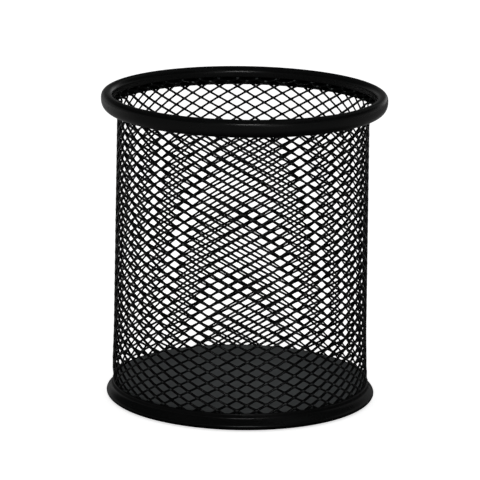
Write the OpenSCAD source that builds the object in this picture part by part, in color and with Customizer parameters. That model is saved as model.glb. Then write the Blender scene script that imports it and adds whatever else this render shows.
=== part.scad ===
// Round mesh pen cup: a rolled wall of expanded steel, a rolled hoop at each end and a pressed base plate.
// The origin is the middle of the foot, on the table, with +Z up.

/* [Mesh wall] */
// Height of the whole cup
cup_height = 98; // [80:1:110]
// Outer diameter of the mesh wall just under the top rim
wall_top_d = 78.8; // [70:0.1:82]
// Outer diameter of the mesh wall just above the base ring
wall_base_d = 80.6; // [72:0.1:86]
// Width of one diamond opening with its strand, measured round the wall
diamond_width = 5.9; // [5.5:0.1:10]
// Height of one diamond opening with its strand
diamond_height = 3.4; // [3.2:0.1:6]
// Width of a strand across its run
strand_width = 0.7; // [0.5:0.05:1]
// Thickness of the mesh, over both layers of strands
mesh_thickness = 0.7; // [0.5:0.05:0.9]
// Height over which the mesh bells out into a hoop
flare_height = 1.8; // [1:0.1:3]
// How far the mesh bells out into the base ring
base_flare = 0.2; // [0.1:0.05:0.3]

/* [Rolled hoops] */
// Thickness of the rolled strip
strip = 0.4; // [0.3:0.05:0.5]
// How far the top rim stands out past the mesh wall
rim_overhang = 5.5; // [5:0.1:6.5]
// Width of the top rim's section
rim_width = 3.7; // [3.4:0.1:4]
// Depth of the top rim's inner lip, down from its top
rim_lip = 3.1; // [2.9:0.1:3.4]
// Gap between the rim's inner face and its curled lower edge
curl_gap = 0.7; // [0.5:0.1:1.2]
// How far the base ring stands out past the mesh wall
ring_overhang = 2.1; // [1.9:0.1:2.5]
// Height of the base ring's outer lip
ring_height = 4.3; // [4:0.1:4.6]
// Height of the round bead that the base ring stands on
ring_bead = 3; // [2.6:0.1:3.2]
// Thickness of the base ring's inner lip
ring_lip = 0.65; // [0.5:0.05:0.8]

/* [Base plate] */
// Height of the plate's floor above the table
floor_height = 5.2; // [4.8:0.1:6.5]
// Thickness of the plate
plate = 0.5; // [0.4:0.05:0.7]
// Height of the bead round the plate's edge, above its floor
bead_height = 1; // [0.9:0.05:1.4]

/* [Fits] */
// Clearance between pieces that seat on each other
seat = 0.05; // [0.02:0.01:0.1]
// Clearance round the faceted mesh where a hoop closes over it
mesh_clear = 0.17; // [0.16:0.01:0.3]

/* [Hidden] */
$fn = 96;

// Radii of the wall's middle surface, between its two layers of strands
wall_top_r = (wall_top_d - mesh_thickness) / 2;
wall_base_r = (wall_base_d - mesh_thickness) / 2;

// From the base ring's outer lip inwards: the mesh, the plate's skirt and the ring's inner lip
ring_mesh_r = wall_base_r + base_flare;
ring_slot_r = ring_mesh_r + mesh_thickness / 2 + mesh_clear;
skirt_outer_r = ring_mesh_r - mesh_thickness / 2 - mesh_clear;
skirt_inner_r = skirt_outer_r - plate;
ring_lip_r = skirt_inner_r - seat;
ring_inner_r = ring_lip_r - ring_lip;
ring_outer_r = wall_base_d / 2 + ring_overhang;

// The ring's bead has a half round at its outer side and one at its inner side, with the flat foot between them
bead_r = ring_bead / 2;
bead_outer_r = ring_outer_r - bead_r;
bead_inner_r = ring_inner_r + bead_r;

// The outer lip leaves the bead as a tangent, and this is the angle of the point where it does
slot_reach = norm([ring_slot_r - bead_outer_r, ring_height - bead_r]);
lip_angle = atan2(ring_height - bead_r, ring_slot_r - bead_outer_r) - acos((bead_r - strip) / slot_reach);

// Top rim: a half round on top of a quarter round twice its radius
rim_outer_r = wall_top_d / 2 + rim_overhang;
rim_inner_r = rim_outer_r - rim_width;
rim_shoulder = cup_height - rim_width / 2;
rim_bottom = rim_shoulder - rim_width;
rim_mesh_r = rim_inner_r + strip + mesh_clear + mesh_thickness / 2;
rim_lip_z = cup_height - rim_lip;

// Hems: the closed edges of the mesh inside the two hoops
hem_height = 1;
base_hem_z = floor_height / 2;
top_hem_z = rim_lip_z - mesh_clear - strip / 2;

// The mesh leaves the wall's taper gently, and then bells out faster: how far below the bell that starts,
// the share of the bell's height where it quickens, and the share of its width that it has reached there
bell_lead = 0.6;
knee_height = 0.4;
knee_width = 0.3;

// Height and radius of the wall's middle surface, from the base hem up to the top hem
base_bell_z = floor_height + bead_height + mesh_clear;
wall_profile = [
    [base_hem_z, ring_mesh_r],
    [base_bell_z, ring_mesh_r],
    [base_bell_z + flare_height, wall_base_r],
    [top_hem_z - flare_height - bell_lead, wall_top_r],
    [top_hem_z - (1 - knee_height) * flare_height, wall_top_r + knee_width * (rim_mesh_r - wall_top_r)],
    [top_hem_z, rim_mesh_r]
];

// Lattice: whole diamonds round the wall and up it
columns = round(PI * (wall_top_r + wall_base_r) / diamond_width);
rows = round((top_hem_z - base_hem_z) / diamond_height);
column_angle = 360 / columns;
row_height = (top_hem_z - base_hem_z) / rows;
strand_slope = atan(row_height * columns / (PI * (wall_top_r + wall_base_r)));
strand_angle = asin(strand_width / 2 / sin(strand_slope) / wall_base_r);
layer_gap = 0.04;

// Levels at which every strand has a section: the profile's own, and even chords up the long straight run
chord_angle = 15.5;
run_start = wall_profile[2][0];
run_end = wall_profile[3][0];
run_chords = ceil((run_end - run_start) / row_height * column_angle / chord_angle);
levels = concat(
    [wall_profile[0][0], wall_profile[1][0]],
    [for (i = [0 : run_chords]) run_start + (run_end - run_start) * i / run_chords],
    [wall_profile[4][0], wall_profile[5][0]]
);
last = len(levels) - 1;

function polar(r, angle, z) = [r * cos(angle), r * sin(angle), z];
function mid_r(z) = lookup(z, wall_profile);
function columns_up(z) = (z - base_hem_z) / row_height;
function wrapped(j) = (j % columns + columns) % columns;

// Two triangles, clockwise from outside, for corners given clockwise from outside
function quad(a, b, c, d) = [[a, b, c], [a, c, d]];
function flipped(tris) = [for (t = tris) [t[2], t[1], t[0]]];

// A strand's section at one level: two corners on the middle surface and a ridge half a thickness away.
// side is 1 for the outer layer, which climbs one way, and -1 for the inner one, which climbs the other way
function section(side, j, z) =
    let (r = mid_r(z), angle = (j + side * columns_up(z)) * column_angle, contact = r + side * layer_gap / 2) [
        polar(contact, angle - strand_angle, z),
        polar(contact, angle + strand_angle, z),
        polar(r + side * mesh_thickness / 2, angle, z)
    ];

// Where the two layers start and end they share a section: two corners, an outer ridge and an inner ridge
function joined(j, z) =
    let (r = mid_r(z), angle = j * column_angle) [
        polar(r, angle - strand_angle, z),
        polar(r, angle + strand_angle, z),
        polar(r + mesh_thickness / 2, angle, z),
        polar(r - mesh_thickness / 2, angle, z)
    ];

function hem_edge(j, z, at) = [
    polar(mid_r(at) + mesh_thickness / 2, j * column_angle, z),
    polar(mid_r(at) - mesh_thickness / 2, j * column_angle, z)
];

// Order of the mesh's points: base hem, first level, the layers' levels between, last level, top hem
first_joined = 2 * columns;
first_section = 6 * columns;
last_joined = first_section + 6 * columns * (last - 1);
top_hem = last_joined + 4 * columns;

function corner(side, j, k, i) =
    let (shared = i < 2 ? i : (side > 0 ? 2 : 3))
        k == 0 ? first_joined + 4 * wrapped(j) + shared
        : k == last ? last_joined + 4 * wrapped(j + side * rows) + shared
        : first_section + 3 * (((side > 0 ? 0 : columns) + j) * (last - 1) + k - 1) + i;

function strand_faces(side, j) =
    let (ring = side > 0 ? [0, 2, 1] : [0, 1, 2]) [
        for (k = [0 : last - 1]) for (i = [0 : 2])
            let (p = ring[i], q = ring[(i + 1) % 3])
                each quad(
                    corner(side, j, k, p),
                    corner(side, j, k + 1, p),
                    corner(side, j, k + 1, q),
                    corner(side, j, k, q)
                )
    ];

// One column of a hem: two halves of the face that the strands grow from, the two sides and the far face
function hem_faces(j, shared, far) =
    let (next = wrapped(j + 1), a = shared + 4 * j, b = shared + 4 * next, c = far + 2 * j, d = far + 2 * next) concat(
        quad(a + 1, b, b + 2, a + 2),
        quad(a + 3, b + 3, b, a + 1),
        quad(a + 2, b + 2, d, c),
        quad(b + 3, a + 3, c + 1, d + 1),
        quad(c, d, d + 1, c + 1)
    );

// The expanded-steel sheet as one solid: two layers of strands that cross, joined by a hem at each end
module mesh_wall() {
    points = concat(
        [for (j = [0 : columns - 1]) each hem_edge(j, base_hem_z - hem_height, base_hem_z)],
        [for (j = [0 : columns - 1]) each joined(j, base_hem_z)],
        [
            for (side = [1, -1]) for (j = [0 : columns - 1]) for (k = [1 : last - 1])
                each section(side, j, levels[k])
        ],
        [for (j = [0 : columns - 1]) each joined(j, top_hem_z)],
        [for (j = [0 : columns - 1]) each hem_edge(j, top_hem_z + hem_height, top_hem_z)]
    );
    faces = concat(
        [for (j = [0 : columns - 1]) each hem_faces(j, first_joined, 0)],
        [for (side = [1, -1]) for (j = [0 : columns - 1]) each strand_faces(side, j)],
        [for (j = [0 : columns - 1]) each flipped(hem_faces(j, last_joined, top_hem))]
    );
    color("#161718") polyhedron(points, faces, convexity = 20);
}

// Outline of the top rim's section, drawn in by the given inset
module rim_outline(inset) {
    translate([rim_inner_r + rim_width / 2, rim_shoulder]) circle(rim_width / 2 - inset);
    intersection() {
        translate([rim_inner_r, rim_shoulder]) circle(rim_width - inset);
        translate([rim_inner_r + inset, rim_bottom]) square(rim_width);
    }
}

// Rolled strip closed over the mesh's top hem, open under its inner lip
module top_rim() {
    color("#1d1e20") rotate_extrude() difference() {
        rim_outline(0);
        rim_outline(strip);
        translate([rim_inner_r - strip, rim_bottom - strip])
            square([strip + curl_gap, rim_lip_z - rim_bottom + strip]);
    }
}

// Outline of the base ring's section, drawn in by the given inset, from an inner radius and up to a height
module ring_outline(inset, inner_r, top_z) {
    leave = [bead_outer_r, bead_r] + (bead_r - inset) * [cos(lip_angle), sin(lip_angle)];
    top_r = leave[0] - (top_z - leave[1]) * tan(lip_angle);
    for (r = [bead_inner_r, bead_outer_r]) translate([r, bead_r]) circle(bead_r - inset);
    polygon([
        [inner_r, bead_r],
        [bead_inner_r, inset],
        [bead_outer_r, inset],
        leave,
        [top_r, top_z],
        [inner_r, top_z]
    ]);
}

// Rolled strip that the cup stands on, open at its top for the mesh and the plate's skirt
module base_ring() {
    color("#1d1e20") rotate_extrude() {
        difference() {
            ring_outline(0, ring_inner_r, ring_height);
            ring_outline(strip, ring_lip_r, ring_height + strip);
        }
        translate([ring_inner_r, ring_height - strip]) square([ring_lip, floor_height - ring_height + strip]);
    }
}

// Pressed plate: a flat floor, a half-round bead over the ring's inner lip and a skirt down inside the mesh
module base_plate() {
    crest_r = skirt_outer_r - bead_height;
    skirt_bottom = bead_r + 2 * strip;
    color("#2b2d2e") rotate_extrude() {
        translate([0, floor_height - plate]) square([crest_r - bead_height + plate, plate]);
        difference() {
            translate([crest_r, floor_height]) circle(bead_height);
            translate([crest_r, floor_height]) circle(bead_height - plate);
            translate([0, floor_height - bead_height]) square([ring_outer_r, bead_height]);
        }
        translate([skirt_inner_r, skirt_bottom]) square([plate, floor_height - skirt_bottom]);
    }
}

mesh_wall();
top_rim();
base_ring();
base_plate();
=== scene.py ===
# Looks of a round pencil cup: expanded steel mesh between two rolled hoops, with a pressed steel floor,
# all powder coated. Lengths are in metres, and sizes marked MM are written in millimetres and scaled by
# it. They were measured in the photograph, with the cup taken as 98 mm tall.
import math

import bmesh
import bpy
import numpy as np
from mathutils import Matrix, Vector


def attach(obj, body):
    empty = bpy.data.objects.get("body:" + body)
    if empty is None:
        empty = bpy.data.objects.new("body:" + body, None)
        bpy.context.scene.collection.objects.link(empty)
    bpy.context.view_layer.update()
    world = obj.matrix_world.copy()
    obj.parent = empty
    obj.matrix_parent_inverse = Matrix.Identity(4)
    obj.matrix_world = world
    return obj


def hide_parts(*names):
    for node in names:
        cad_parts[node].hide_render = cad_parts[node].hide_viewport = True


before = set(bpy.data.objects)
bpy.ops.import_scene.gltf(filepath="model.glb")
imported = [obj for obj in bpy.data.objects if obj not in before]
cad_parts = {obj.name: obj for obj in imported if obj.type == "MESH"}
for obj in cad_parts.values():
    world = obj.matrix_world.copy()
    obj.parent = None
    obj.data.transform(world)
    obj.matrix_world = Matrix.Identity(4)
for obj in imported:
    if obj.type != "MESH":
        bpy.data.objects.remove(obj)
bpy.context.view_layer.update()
MM = 0.001

# ------------------------------------------------------------------------------------------------------
# Camera
# A long lens at the photograph's height and distance, rolled a little as the photograph is. The cup's
# middle lies a few pixels right of and below the picture's middle, which the lens shift gives.
photo_width = 480
view_elevation = math.radians(13.675)
view_distance = 1110.5 * MM
view_roll = math.radians(0.902)
sensor_width = 36
photo_focal_px = 3518.4
object_offset_px = (2.33, 4.37)
clip_start, clip_end = 0.05, 20

aim = Vector((0, 0, 49 * MM))
backward = Vector((0, -math.cos(view_elevation), math.sin(view_elevation)))
level_up = Vector((0, math.sin(view_elevation), math.cos(view_elevation)))
level_right = Vector((1, 0, 0))
right = math.cos(view_roll) * level_right + math.sin(view_roll) * level_up
up = math.cos(view_roll) * level_up - math.sin(view_roll) * level_right

lens = bpy.data.cameras.new("camera")
lens.sensor_width = sensor_width
lens.lens = photo_focal_px / photo_width * sensor_width
lens.shift_x = -object_offset_px[0] / photo_width
lens.shift_y = object_offset_px[1] / photo_width
lens.clip_start, lens.clip_end = clip_start, clip_end
camera = bpy.data.objects.new("camera", lens)
turned_to_view = Matrix((right, up, backward)).transposed().to_4x4()
camera.matrix_world = Matrix.Translation(aim + backward * view_distance) @ turned_to_view
bpy.context.scene.collection.objects.link(camera)
bpy.context.scene.camera = camera

# ------------------------------------------------------------------------------------------------------
# Mesh wall
# One sheet of expanded steel, slit and stretched into diamonds, then rolled into a tube that tapers a
# little towards its top and bells out into the top rim. Its powder coat rounds the strands off.
sheet_top_radius = 39.16 * MM
sheet_base_radius = 39.89 * MM
sheet_top_z = 92 * MM
sheet_base_z = 6 * MM
sheet_upper_end = 96.6 * MM
sheet_lower_end = 1.4 * MM
# Above the ring the sheet widens a little more, until the ring's lip takes it back
spread = 0.24 * MM
spread_start = 24 * MM
spread_end = 8 * MM
ring_grip = 5.0 * MM
# Inside the rim it bells out
bell_radius = 42.1 * MM
bell_start = 93.1 * MM
bell_level = 94.8 * MM
# Between the hoops it stands a little to one side of their axis, this far along X at its top and base
aside_top = -0.31 * MM
aside_base = -0.29 * MM
settling_length = 6 * MM

# Two families of strands wind round the wall, in opposite directions. Both counts are whole, so that the
# net closes. The climb is how many strands of a family one crosses per millimetre up the sheet, and the
# start is the family's place, in strands, behind the cup at mid-height.
strands = np.array([41, 42])
climb_per_mm = np.array([0.28955, 0.29321])
starts = np.array([0.1006, 0.4228])
# The rolled sheet isn't quite even: each family runs ahead by these shares of a strand, as cosine and
# sine of the turn round the wall and then of twice the turn
sway = np.array([[0.0188, 0.0506, 0.0057, 0.0083],
                 [-0.1278, -0.0292, -0.0195, -0.0262]])
sway_passes = 6

strand_width = 0.63 * MM
strand_thickness = 0.64 * MM
# A strand is twisted, so its edges stand out by these shares of how far above its middle, and how far
# round the wall from it, they are
strand_tilt = -0.45
strand_slant = 0.03
# Half of its thickness at an edge, as a share of the thickness along its middle
edge_share = 0.25
# How much thicker it is where strands merge, and how far along a cell's side that reaches
bond_thickening = 1.15
bond_reach = 0.27
# How far in from the strands' middles the corners of an opening lie, in half widths of a strand
pointed_corner = 1.10
blunt_corner = 1.20


def smooth_step(t):
    """A ramp from 0 to 1 that starts and ends level: t^2 (3 - 2t)."""
    t = np.clip(t, 0, 1)
    return t * t * (3 - 2 * t)


def sheet_radius(z):
    """Radius of the sheet's middle at height z: a straight taper, plus a slight spread towards the ring
    that the ring's lip takes back, plus a smooth bell in the top rim."""
    share = (z - sheet_base_z) / (sheet_top_z - sheet_base_z)
    taper = sheet_base_radius + (sheet_top_radius - sheet_base_radius) * share
    widening = smooth_step((spread_start - z) / (spread_start - spread_end))
    taken_back = smooth_step((z - ring_grip) / (spread_end - ring_grip))
    bell = smooth_step((z - bell_start) / (bell_level - bell_start))
    return taper + spread * widening * taken_back + bell * (bell_radius - taper)


def sheet_profile(samples=4000):
    """The sheet's section as length along it, radius and height, its length counted from mid-height."""
    z = np.linspace(sheet_lower_end, sheet_upper_end, samples)
    r = sheet_radius(z)
    length = np.concatenate([[0], np.cumsum(np.hypot(np.diff(r), np.diff(z)))])
    return length - np.interp(aim.z, z, length), r, z


def on_sheet(a, b):
    """Turn round the wall and length up the sheet where strand a of one family crosses strand b of the
    other, from the two straight lines a = start + sway + strands * turn + climb * length and
    b = start + sway + strands * turn - climb * length. The sway depends on the turn, so they are solved
    several times, each with the sway at the turn that the last time gave."""
    climb = climb_per_mm / MM
    whole = strands[0] * climb[1] + strands[1] * climb[0]
    turn = np.zeros_like(a)
    for _ in range(sway_passes):
        angle = 2 * math.pi * turn
        waves = np.array([np.cos(angle), np.sin(angle), np.cos(2 * angle), np.sin(2 * angle)])
        sway_a, sway_b = np.tensordot(sway, waves, 1)
        p = a - starts[0] - sway_a
        q = b - starts[1] - sway_b
        turn = (climb[1] * p + climb[0] * q) / whole
    return turn, (strands[1] * p - strands[0] * q) / whole


def wall_points(a, b, outward, profile, middle=None):
    """Points at lattice place a, b, that far out of the sheet's middle along its section's normal. Where
    the turn and the length of the strand's middle are given, the strand's twist is added."""
    turn, length = on_sheet(a, b)
    lengths, radii, heights = profile
    r = np.interp(length, lengths, radii)
    z = np.interp(length, lengths, heights)
    step = 0.05 * MM
    dr = np.interp(length + step, lengths, radii) - np.interp(length - step, lengths, radii)
    dz = np.interp(length + step, lengths, heights) - np.interp(length - step, lengths, heights)
    run = np.hypot(dr, dz)
    if middle is not None:
        upward = length - middle[1]
        sideways = 2 * math.pi * r * (turn - middle[0])
        outward = outward + strand_tilt * upward + strand_slant * sideways
    r = r + outward * dz / run
    z = z - outward * dr / run
    angle = 2 * math.pi * turn + math.pi / 2
    free = smooth_step((bell_level - z) / settling_length) * smooth_step((z - ring_grip) / settling_length)
    aside = free * np.interp(z, [sheet_base_z, sheet_top_z], [aside_base, aside_top])
    return np.stack([r * np.cos(angle) + aside, r * np.sin(angle), z], -1)


def expanded_sheet():
    """Vertices and faces of the rolled net, and 1 for each vertex on a bond. Each diamond cell has a ring
    of points along the middles of the strands round it, and a ring along its opening's edge, both
    outside and inside. Cells share the rings along the strands' middles with the cells beside them, by
    whole-number keys, and the sheet's ends are closed."""
    along = np.array([0, bond_reach, 1 - bond_reach])
    steps = len(along)
    key = np.arange(steps)
    around = 4 * steps
    profile = sheet_profile()
    low, high = profile[0][0], profile[0][-1]

    # Ring round a cell: the corner at its left end first, then up to the top, across, and down again
    side_a = np.concatenate([along, np.full(steps, 1.0), 1 - along, np.full(steps, 0.0)])
    side_b = np.concatenate([np.full(steps, 0.0), along, np.full(steps, 1.0), 1 - along])
    key_a = np.concatenate([key, np.full(steps, steps), steps - key, np.full(steps, 0)])
    key_b = np.concatenate([np.full(steps, 0), key, np.full(steps, steps), steps - key])

    # A strand's half width as a share of the spacing between strands, and the ring along the opening
    half_long = math.pi * (sheet_top_radius + sheet_base_radius) / strands.sum()
    half_short = MM / climb_per_mm.sum()
    spacing = 2 * half_long * half_short / math.hypot(half_long, half_short)
    inset = strand_width / 2 / spacing
    edge_a = np.clip(side_a, inset, 1 - inset)
    edge_b = np.clip(side_b, inset, 1 - inset)
    corners = np.arange(0, around, steps)
    cuts = inset * np.array([pointed_corner, blunt_corner, pointed_corner, blunt_corner])
    edge_a[corners] = np.abs(side_a[corners] - cuts)
    edge_b[corners] = np.abs(side_b[corners] - cuts)

    # Cells that lie wholly on the sheet, once round, picked from a lattice that reaches well past it
    past_sheet = 2 * strands[1]
    i, j = np.meshgrid(np.arange(strands[0]), np.arange(-past_sheet, past_sheet), indexing="ij")
    _, length = on_sheet(i + 0.5, j + 0.5)
    keep = (length > low + half_short) & (length < high - half_short)
    i, j = i[keep][:, None], j[keep][:, None]
    cells = len(i)

    # Points along the strands' middles, numbered by their keys, with whole turns taken off
    keys_a, keys_b = steps * i + key_a, steps * j + key_b
    turns = keys_a // (steps * strands[0])
    keys = np.stack([keys_a - turns * steps * strands[0], keys_b - turns * steps * strands[1]], -1)
    unique, shared = np.unique(keys.reshape(-1, 2), axis=0, return_inverse=True)
    shared = shared.reshape(cells, around)
    whole, part = np.divmod(unique, steps)
    middle_a, middle_b = (whole + along[part]).T
    bond = (part == 0).all(1)
    half_thick = strand_thickness / 2 * np.where(bond, bond_thickening, 1.0)
    middle_out = wall_points(middle_a, middle_b, half_thick, profile)
    middle_in = wall_points(middle_a, middle_b, -half_thick, profile)

    # Points along each opening's edge
    middle = on_sheet(i + side_a, j + side_b)
    half_thick = strand_thickness * edge_share
    edge_out = wall_points(i + edge_a, j + edge_b, half_thick, profile, middle)
    edge_in = wall_points(i + edge_a, j + edge_b, -half_thick, profile, middle)

    middle_count, edge_count = len(unique), cells * around
    points = np.concatenate([middle_out, middle_in, edge_out.reshape(-1, 3), edge_in.reshape(-1, 3)])
    ring_out, ring_in = shared, shared + middle_count
    lip_out = 2 * middle_count + np.arange(edge_count).reshape(cells, around)
    lip_in = lip_out + edge_count

    def band(outer, inner):
        """Four-sided faces between two rings, all the way round each cell."""
        return np.stack([outer, inner, np.roll(inner, -1, 1), np.roll(outer, -1, 1)], -1).reshape(-1, 4)

    faces = [band(ring_out, lip_out), band(lip_out, lip_in), band(lip_in, ring_in)]

    # At the sheet's ends, a strand's middle belongs to one cell only, and a face closes it
    start = shared.reshape(-1)
    end = np.roll(shared, -1, 1).reshape(-1)
    pair = np.sort(np.stack([start, end], -1), -1)
    _, which, uses = np.unique(pair, axis=0, return_inverse=True, return_counts=True)
    cut = uses[which.reshape(-1)] == 1
    start, end = start[cut], end[cut]
    faces.append(np.stack([start, end, end + middle_count, start + middle_count], -1))
    bonds = np.concatenate([bond, bond, np.zeros(2 * edge_count)])
    return points, np.concatenate(faces), bonds


def mesh_object(name, points, faces):
    """A smooth-shaded object at the origin, from arrays of points and of four-sided faces."""
    mesh = bpy.data.meshes.new(name)
    mesh.vertices.add(len(points))
    mesh.vertices.foreach_set("co", points.astype(np.float32).ravel())
    mesh.loops.add(faces.size)
    mesh.loops.foreach_set("vertex_index", faces.astype(np.int32).ravel())
    mesh.polygons.add(len(faces))
    mesh.polygons.foreach_set("loop_start", np.arange(0, faces.size, 4, dtype=np.int32))
    mesh.polygons.foreach_set("use_smooth", np.ones(len(faces), dtype=bool))
    mesh.update(calc_edges=True)
    mesh.validate()
    made = bpy.data.objects.new(name, mesh)
    bpy.context.scene.collection.objects.link(made)
    return made


def linear(hex_code):
    """The linear colour, with alpha 1, of an sRGB hex code."""
    parts = [int(hex_code[k:k + 2], 16) / 255 for k in (1, 3, 5)]
    return [c / 12.92 if c <= 0.04045 else ((c + 0.055) / 1.055) ** 2.4 for c in parts] + [1]


def fresh_tree(owner):
    """The empty node tree of a material or of the world."""
    owner.use_nodes = True
    owner.node_tree.nodes.clear()
    return owner.node_tree


def add_node(tree, kind, inputs=None, **settings):
    """Adds one node. Settings are its properties, and inputs are its sockets' values or what feeds them."""
    made = tree.nodes.new(kind)
    for name, value in settings.items():
        setattr(made, name, value)
    for name, value in (inputs or {}).items():
        if isinstance(value, bpy.types.NodeSocket):
            tree.links.new(value, made.inputs[name])
        else:
            made.inputs[name].default_value = value
    return made


# The powder's grains are too fine to show, so they are drawn coarser, at a quarter of a millimetre
grain_size = 0.25 * MM
grain_share = 0.25
drift_size = 14 * MM
gloss_drift = 0.04
# Painted glints on the bonds start and are full at these levels of the bond attribute and of the peel's
# waves
bond_start, bond_full = 0.35, 0.8
glint_start, glint_full = 0.38, 0.6


def powder_coat(name, dark, light, rough, shine, peel_size, peel_depth, on_bonds=None):
    """Polyester powder, sprayed on dry and melted in an oven: an even satin with soft highlights. It flows
    into a faint orange peel, whose waves are peel_size wide, and its tone and its gloss drift a little
    from place to place. Given a last tone, it paints glints on some bonds of the mesh in that tone, in
    place of highlights."""
    made = bpy.data.materials.new(name)
    tree = fresh_tree(made)
    where = add_node(tree, "ShaderNodeTexCoord").outputs["Object"]
    peel = add_node(tree, "ShaderNodeTexNoise", {
        "Vector": where, "Scale": 1 / peel_size, "Detail": 2.0, "Roughness": 0.45})
    grain = add_node(tree, "ShaderNodeTexNoise", {
        "Vector": where, "Scale": 1 / grain_size, "Detail": 1.0, "Roughness": 0.5})
    drift = add_node(tree, "ShaderNodeTexNoise", {
        "Vector": where, "Scale": 1 / drift_size, "Detail": 3.0, "Roughness": 0.6})
    tone = add_node(tree, "ShaderNodeMixRGB", {
        "Fac": drift.outputs["Fac"], "Color1": linear(dark), "Color2": linear(light)})
    # Painted glints: some bonds are painted a lighter tone, where light would catch them
    if on_bonds:
        bond = add_node(tree, "ShaderNodeAttribute", attribute_name="bond")
        patch = add_node(tree, "ShaderNodeMapRange", {
            "Value": bond.outputs["Fac"], "From Min": bond_start, "From Max": bond_full})
        some = add_node(tree, "ShaderNodeMapRange", {
            "Value": peel.outputs["Fac"], "From Min": glint_start, "From Max": glint_full})
        rubbed = add_node(tree, "ShaderNodeMath", {
            0: patch.outputs[0], 1: some.outputs[0]}, operation="MULTIPLY")
        tone = add_node(tree, "ShaderNodeMixRGB", {
            "Fac": rubbed.outputs[0], "Color1": tone.outputs[0], "Color2": linear(on_bonds)})
    gloss = add_node(tree, "ShaderNodeMapRange", {
        "Value": drift.outputs["Fac"], "From Min": 0.3, "From Max": 0.7,
        "To Min": rough - gloss_drift, "To Max": rough + gloss_drift})
    height = add_node(tree, "ShaderNodeMath", {
        0: grain.outputs["Fac"], 1: grain_share, 2: peel.outputs["Fac"]}, operation="MULTIPLY_ADD")
    bump = add_node(tree, "ShaderNodeBump", {
        "Height": height.outputs[0], "Strength": 1.0, "Distance": peel_depth})
    coat = add_node(tree, "ShaderNodeBsdfPrincipled", {
        "Base Color": tone.outputs[0], "Roughness": gloss.outputs[0], "Normal": bump.outputs[0],
        "Specular IOR Level": shine, "IOR": 1.5, "Metallic": 0.0})
    add_node(tree, "ShaderNodeOutputMaterial", {"Surface": coat.outputs[0]})
    return made


# Near black, and duller than on the hoops. Some bonds are painted a satin grey, as painted glints of light
mesh_coat = powder_coat("mesh_powder_coat", "#040505", "#080909", rough=0.22, shine=0.35,
                        peel_size=1.6 * MM, peel_depth=0.010 * MM, on_bonds="#5a5e5e")
points, faces, bonds = expanded_sheet()
wall = mesh_object("expanded_mesh", points, faces)
wall.data.attributes.new("bond", "FLOAT", "POINT").data.foreach_set("value", bonds)
wall.data.materials.append(mesh_coat)
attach(wall, "root")
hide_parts("mesh_wall")

# ------------------------------------------------------------------------------------------------------
# Top rim
# Cold-rolled strip, bent to a hoop over the upper edge of the mesh. Its inner lip is straight, its
# shoulders are round, and its outer side curls back under in one long curve that holds the mesh.
strip_thickness = 0.4 * MM
cap_points = 8
rim_inner_radius = 41.2 * MM
rim_width = 3.7 * MM
rim_top = 98 * MM
rim_shoulder_height = 2.0 * MM
rim_curl_depth = 3.8 * MM
rim_lip_z = 94.9 * MM
rim_curl_end = 41.9 * MM
# Exponent of the outer shoulder and of the curl: 2 is an ellipse, and more is squarer
shoulder_power = 2.4
shoulder_points, curl_points = 15, 22
facets_around = 288
merge_distance = 0.001 * MM
# Creases sharper than this are shaded as edges
crease_angle = math.radians(40)


def upright(radius, z_start, z_end, points):
    """Section points straight up or down at one radius, with both ends."""
    return np.stack([np.full(points, radius), np.linspace(z_start, z_end, points)], -1)


def arc(centre, radii, start, end, points):
    """Section points on an ellipse's arc, between two angles in degrees: c + (R cos t, R sin t)."""
    t = np.radians(np.linspace(start, end, points))
    return np.stack([centre[0] + radii[0] * np.cos(t), centre[1] + radii[1] * np.sin(t)], -1)


def bow(radius, share, power):
    """How far a rounded corner still stands out at a share s of the way along: R (1 - s^p)^(1/p)."""
    return radius * (1 - np.abs(share) ** power) ** (1 / power)


def strip_section(path, thickness, from_axis=False):
    """The closed section of a strip: its outer face, and its inner face one thickness to the right of the
    path. The cut ends are half circles, c +- (t/2)(cos(u) side - sin(u) run), and a disc's strip, which
    starts on the axis, has none there."""
    run = np.gradient(path, axis=0)
    run /= np.hypot(run[:, 0], run[:, 1])[:, None]
    side = np.stack([run[:, 1], -run[:, 0]], -1)
    half = thickness / 2
    u = np.linspace(0, math.pi, cap_points)[1:-1, None]
    end = path[-1] + half * side[-1] - half * (np.cos(u) * side[-1] - np.sin(u) * run[-1])
    start = path[0] + half * side[0] + half * (np.cos(u) * side[0] - np.sin(u) * run[0])
    inner = (path + thickness * side)[::-1]
    return np.concatenate([path, end, inner] if from_axis else [path, end, inner, start])


def turned(name, section):
    """A solid of revolution about Z, from its section's radii and heights: (r cos t, r sin t, z)."""
    angle = np.linspace(0, 2 * math.pi, facets_around, endpoint=False)
    r, z = section.T
    heights = np.broadcast_to(z, (facets_around, len(z)))
    points = np.stack([np.outer(np.cos(angle), r), np.outer(np.sin(angle), r), heights], -1)
    here = np.arange(heights.size).reshape(heights.shape)
    beside = np.roll(here, -1, 0)
    faces = np.stack([here, np.roll(here, -1, 1), np.roll(beside, -1, 1), beside], -1).reshape(-1, 4)
    made = mesh_object(name, points.reshape(-1, 3), faces)
    merged = bmesh.new()
    merged.from_mesh(made.data)
    bmesh.ops.remove_doubles(merged, verts=merged.verts, dist=merge_distance)
    bmesh.ops.recalc_face_normals(merged, faces=merged.faces)
    merged.to_mesh(made.data)
    merged.free()
    made.data.set_sharp_from_angle(angle=crease_angle)
    return made


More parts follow.
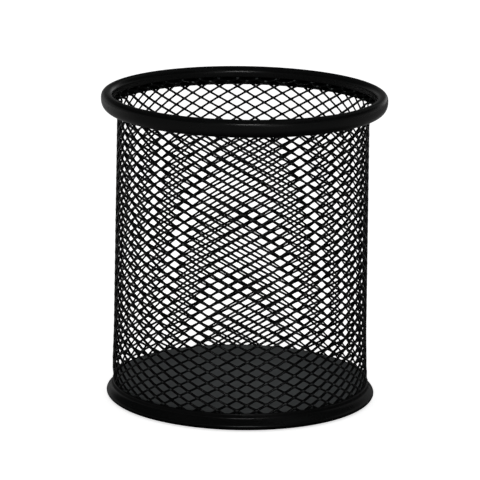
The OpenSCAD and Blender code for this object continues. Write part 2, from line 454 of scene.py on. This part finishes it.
def rim_path():
    """Outer face of the rim: up the inner lip, over both shoulders, and down the outer side to the curl's
    end. The inner shoulder is a quarter ellipse, and the outer side follows the squarer bow."""
    half_width = rim_width / 2
    crown = rim_inner_radius + half_width
    shoulder_z = rim_top - rim_shoulder_height
    lip = upright(rim_inner_radius, rim_lip_z, shoulder_z, points=5)[:-1]
    inner = arc((crown, shoulder_z), (half_width, rim_shoulder_height), 180, 90, shoulder_points)
    out = half_width * np.sin(np.linspace(0, math.pi / 2, shoulder_points))[1:]
    rise = bow(rim_shoulder_height, out / half_width, shoulder_power)
    outer = np.stack([crown + out, shoulder_z + rise], -1)
    last = math.asin((rim_curl_end - rim_inner_radius) / rim_width)
    reach = rim_width * np.sin(np.linspace(math.pi / 2, last, curl_points))[1:]
    drop = bow(rim_curl_depth, reach / rim_width, shoulder_power)
    curl = np.stack([rim_inner_radius + reach, shoulder_z - drop], -1)
    return np.concatenate([lip, inner, outer, curl])


# The coat flows out smoother on a hoop than on the mesh, and shines more
hoop_coat = powder_coat("hoop_powder_coat", "#0b0c0c", "#111212", rough=0.26, shine=0.5,
                        peel_size=2.2 * MM, peel_depth=0.012 * MM)
rim = turned("rolled_rim", strip_section(rim_path(), strip_thickness))
rim.data.materials.append(hoop_coat)
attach(rim, "root")
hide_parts("top_rim")

# ------------------------------------------------------------------------------------------------------
# Base ring
# The same strip, which the cup stands on: a low bead that sweeps up in an S to a narrow lip against the
# mesh, and behind the mesh a straight inner lip that carries the plate.
ring_outer_radius = 42.5 * MM
ring_inner_radius = 38.43 * MM
ring_lip_radius = 40.68 * MM
ring_widest_z = 1.5 * MM
ring_sweep_end_z = 4.0 * MM
ring_lip_turn = 0.43 * MM
ring_lip_z = 5.25 * MM
ring_inner_lip_z = 5.0 * MM
ring_foot_outer = 40.0 * MM
ring_foot_inner = 39.6 * MM
sweep_points = 26


def ring_path():
    """Outer face of the ring: down the inner lip, under the foot, round the bead, up the S, which is a
    smooth step of the radius, and round the outer lip's top."""
    lip = upright(ring_inner_radius, ring_inner_lip_z, ring_widest_z, points=6)[:-1]
    heel_reach = ring_foot_inner - ring_inner_radius
    heel = arc((ring_foot_inner, ring_widest_z), (heel_reach, ring_widest_z), 180, 270, points=14)
    bead_reach = ring_outer_radius - ring_foot_outer
    bead = arc((ring_foot_outer, ring_widest_z), (bead_reach, ring_widest_z), -90, 0, points=14)
    rise = np.linspace(0, 1, sweep_points)[1:]
    sweep_radius = ring_outer_radius - (ring_outer_radius - ring_lip_radius) * smooth_step(rise)
    sweep_z = ring_widest_z + (ring_sweep_end_z - ring_widest_z) * rise
    sweep = np.stack([sweep_radius, sweep_z], -1)
    lip_centre = (ring_lip_radius - ring_lip_turn, ring_lip_z - ring_lip_turn)
    top = arc(lip_centre, (ring_lip_turn, ring_lip_turn), 0, 90, points=8)
    return np.concatenate([lip, heel, bead, sweep, top])


ring = turned("rolled_ring", strip_section(ring_path()[::-1], strip_thickness))
ring.data.materials.append(hoop_coat)
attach(ring, "root")
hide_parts("base_ring")

# ------------------------------------------------------------------------------------------------------
# Base plate
# A pressed steel disc that lies on the ring's inner lip, turned down round its edge to a skirt inside
# the mesh. Its charcoal grey is lighter than the coat's own tone: a painted reflection of the room.
floor_z = 5.4 * MM
plate_thickness = 0.5 * MM
turn_radius = 0.35 * MM
skirt_radius = 39.5 * MM
skirt_bottom = 2.3 * MM
flat_points = 24


def plate_path():
    """Upper face of the plate, from its middle out to the turned-down edge and down the skirt."""
    flat_radius = skirt_radius - turn_radius
    turn_z = floor_z - turn_radius
    reach = np.linspace(0, flat_radius, flat_points)[:-1]
    flat = np.stack([reach, np.full(len(reach), floor_z)], -1)
    turn = arc((flat_radius, turn_z), (turn_radius, turn_radius), 90, 0, points=10)
    skirt = upright(skirt_radius, turn_z, skirt_bottom, points=5)[1:]
    return np.concatenate([flat, turn, skirt])


# Thinner and drier than the hoops' coat, so it looks matt. Its light tones are painted reflection
plate_coat = powder_coat("plate_powder_coat", "#54585a", "#6c6f6f", rough=0.50, shine=0.4,
                         peel_size=2.8 * MM, peel_depth=0.010 * MM)
plate = turned("pressed_plate", strip_section(plate_path(), plate_thickness, from_axis=True))
plate.data.materials.append(plate_coat)
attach(plate, "root")
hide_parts("base_plate")

# ------------------------------------------------------------------------------------------------------
# Floor
# A pale paper floor, which the camera sees glowing up to white, with the cup's soft shadow on it. Other
# rays meet a grey floor without glow, which darkens towards the front and towards the ring.
floor_size = 6.0
floor_tone = "#e2e2e2"
# The glow makes up for the soft box's light, which falls off with the distance from the cup
glow_near, glow_far = 0.74, 1.0
glow_rise_start, glow_rise_end = 0.5, 1.6
front_tone, back_tone = "#7c7c7c", "#d0d0d0"
back_y = 0.5
shade_level = 0.25
shade_centre = (0.04, 0, 0)
shade_radius, shade_end = 0.07, 0.17


def show_to_camera(tree, shown, to_others, output_kind):
    """Gives the camera, straight or through a clear piece, one shader, and every other ray another."""
    ray = add_node(tree, "ShaderNodeLightPath")
    seen = add_node(tree, "ShaderNodeMath", {
        0: ray.outputs["Is Camera Ray"], 1: ray.outputs["Is Transmission Ray"]}, operation="MAXIMUM")
    pick = add_node(tree, "ShaderNodeMixShader", {
        0: seen.outputs[0], 1: to_others.outputs[0], 2: shown.outputs[0]})
    add_node(tree, output_kind, {"Surface": pick.outputs[0]})


bpy.ops.mesh.primitive_plane_add(size=floor_size, location=(0, 0, 0))
floor = bpy.context.object
floor.name = "floor"
paper = bpy.data.materials.new("white_floor_paper")
tree = fresh_tree(paper)
where = add_node(tree, "ShaderNodeTexCoord").outputs["Object"]
matt = add_node(tree, "ShaderNodeBsdfDiffuse", {"Color": linear(floor_tone)})
distance = add_node(tree, "ShaderNodeVectorMath", {0: where}, operation="LENGTH")
glow_level = add_node(tree, "ShaderNodeMapRange", {
    "Value": distance.outputs["Value"], "From Min": glow_rise_start, "From Max": glow_rise_end,
    "To Min": glow_near, "To Max": glow_far})
glow = add_node(tree, "ShaderNodeEmission", {"Color": (1, 1, 1, 1), "Strength": glow_level.outputs[0]})
white_paper = add_node(tree, "ShaderNodeAddShader", {0: matt.outputs[0], 1: glow.outputs[0]})
place_on_floor = add_node(tree, "ShaderNodeSeparateXYZ", {"Vector": where})
behind = add_node(tree, "ShaderNodeMapRange", {
    "Value": place_on_floor.outputs["Y"], "From Min": 0.0, "From Max": back_y})
grey = add_node(tree, "ShaderNodeMixRGB", {
    "Fac": behind.outputs[0], "Color1": linear(front_tone), "Color2": linear(back_tone)})
from_shade = add_node(tree, "ShaderNodeVectorMath", {0: where, 1: shade_centre}, operation="DISTANCE")
shade = add_node(tree, "ShaderNodeMapRange", {
    "Value": from_shade.outputs["Value"], "From Min": shade_radius, "From Max": shade_end,
    "To Min": shade_level, "To Max": 1.0})
shaded_grey = add_node(tree, "ShaderNodeMixRGB", {
    "Fac": 1.0, "Color1": grey.outputs[0], "Color2": shade.outputs[0]}, blend_type="MULTIPLY")
grey_paper = add_node(tree, "ShaderNodeBsdfDiffuse", {"Color": shaded_grey.outputs[0]})
show_to_camera(tree, white_paper, grey_paper, "ShaderNodeOutputMaterial")
floor.data.materials.append(paper)

# ------------------------------------------------------------------------------------------------------
# Grey card
# A low grey card that stands to the right of the cup. Only reflections see it, and it keeps the right
# end of the ring dim.
card_x, card_front, card_back, card_height = 0.16, -0.05, 0.60, 0.08
card_level = 0.11
card_corners = np.array([[card_x, card_front, 0], [card_x, card_front, card_height],
                         [card_x, card_back, card_height], [card_x, card_back, 0]])
card = mesh_object("grey_card", card_corners, np.array([[0, 1, 2, 3]]))
card_paper = bpy.data.materials.new("grey_card_paper")
tree = fresh_tree(card_paper)
card_glow = add_node(tree, "ShaderNodeEmission", {"Color": (1, 1, 1, 1), "Strength": card_level})
add_node(tree, "ShaderNodeOutputMaterial", {"Surface": card_glow.outputs[0]})
card.data.materials.append(card_paper)
card.visible_camera = card.visible_transmission = card.visible_diffuse = card.visible_shadow = False

# ------------------------------------------------------------------------------------------------------
# Studio
# The background is white. The coats' reflections see dim walls instead: dark in front and behind, grey
# on the left, and with a bright, narrow screen on the right, all of it fading away upwards.
back_level = 0.10
back_start, back_full = 0.4, 0.95
ceiling_share = 0.08
wall_top, ceiling_start = 0.06, 0.32
# The direction's place from left to right, as (X + 1) / 2, and the walls' level there
wall_levels = [(0.0, 0.12), (0.18, 0.13), (0.28, 0.19), (0.42, 0.04), (0.58, 0.04), (0.67, 0.62),
               (0.73, 0.62), (0.785, 0.15), (1.0, 0.10)]

world = bpy.data.worlds.new("studio")
bpy.context.scene.world = world
tree = fresh_tree(world)
direction = add_node(tree, "ShaderNodeTexCoord").outputs["Generated"]
axes = add_node(tree, "ShaderNodeSeparateXYZ", {"Vector": direction})
across = add_node(tree, "ShaderNodeMapRange", {
    "Value": axes.outputs["X"], "From Min": -1.0, "From Max": 1.0})
walls = add_node(tree, "ShaderNodeValToRGB", {"Fac": across.outputs[0]})
stops = walls.color_ramp.elements
while len(stops) < len(wall_levels):
    stops.new(0.5)
for stop, (position, level) in zip(stops, wall_levels):
    stop.position = position
    stop.color = (level, level, level, 1)
back = add_node(tree, "ShaderNodeMapRange", {
    "Value": axes.outputs["Y"], "From Min": back_start, "From Max": back_full,
    "To Min": 0.0, "To Max": back_level})
fade = add_node(tree, "ShaderNodeMapRange", {
    "Value": axes.outputs["Z"], "From Min": wall_top, "From Max": ceiling_start,
    "To Min": 1.0, "To Max": ceiling_share})
all_walls = add_node(tree, "ShaderNodeMath", {
    0: walls.outputs["Color"], 1: back.outputs[0]}, operation="ADD")
dimmed = add_node(tree, "ShaderNodeMath", {
    0: all_walls.outputs[0], 1: fade.outputs[0]}, operation="MULTIPLY")
studio = add_node(tree, "ShaderNodeBackground", {"Color": (1, 1, 1, 1), "Strength": dimmed.outputs[0]})
white = add_node(tree, "ShaderNodeBackground", {"Color": (1, 1, 1, 1), "Strength": 1.0})
show_to_camera(tree, white, studio, "ShaderNodeOutputWorld")


def soft_box(name, place, size, watts):
    """A rectangular lamp that faces the cup."""
    lamp = bpy.data.lights.new(name, "AREA")
    lamp.shape = "RECTANGLE"
    lamp.size, lamp.size_y = size
    lamp.energy = watts
    made = bpy.data.objects.new(name, lamp)
    made.location = place
    made.rotation_euler = (aim - Vector(place)).to_track_quat("-Z", "Y").to_euler()
    bpy.context.scene.collection.objects.link(made)
    return made


# The large soft box is flagged off from reflections, in which the photograph shows only the front strip
overhead = soft_box("overhead_soft_box", place=(0, 0, 1.5), size=(3.0, 2.6), watts=22)
overhead.visible_glossy = False
soft_box("front_strip", place=(0.10, -1.4, 0.62), size=(0.5, 0.14), watts=1.7)

bpy.context.scene.view_settings.view_transform = "Standard"
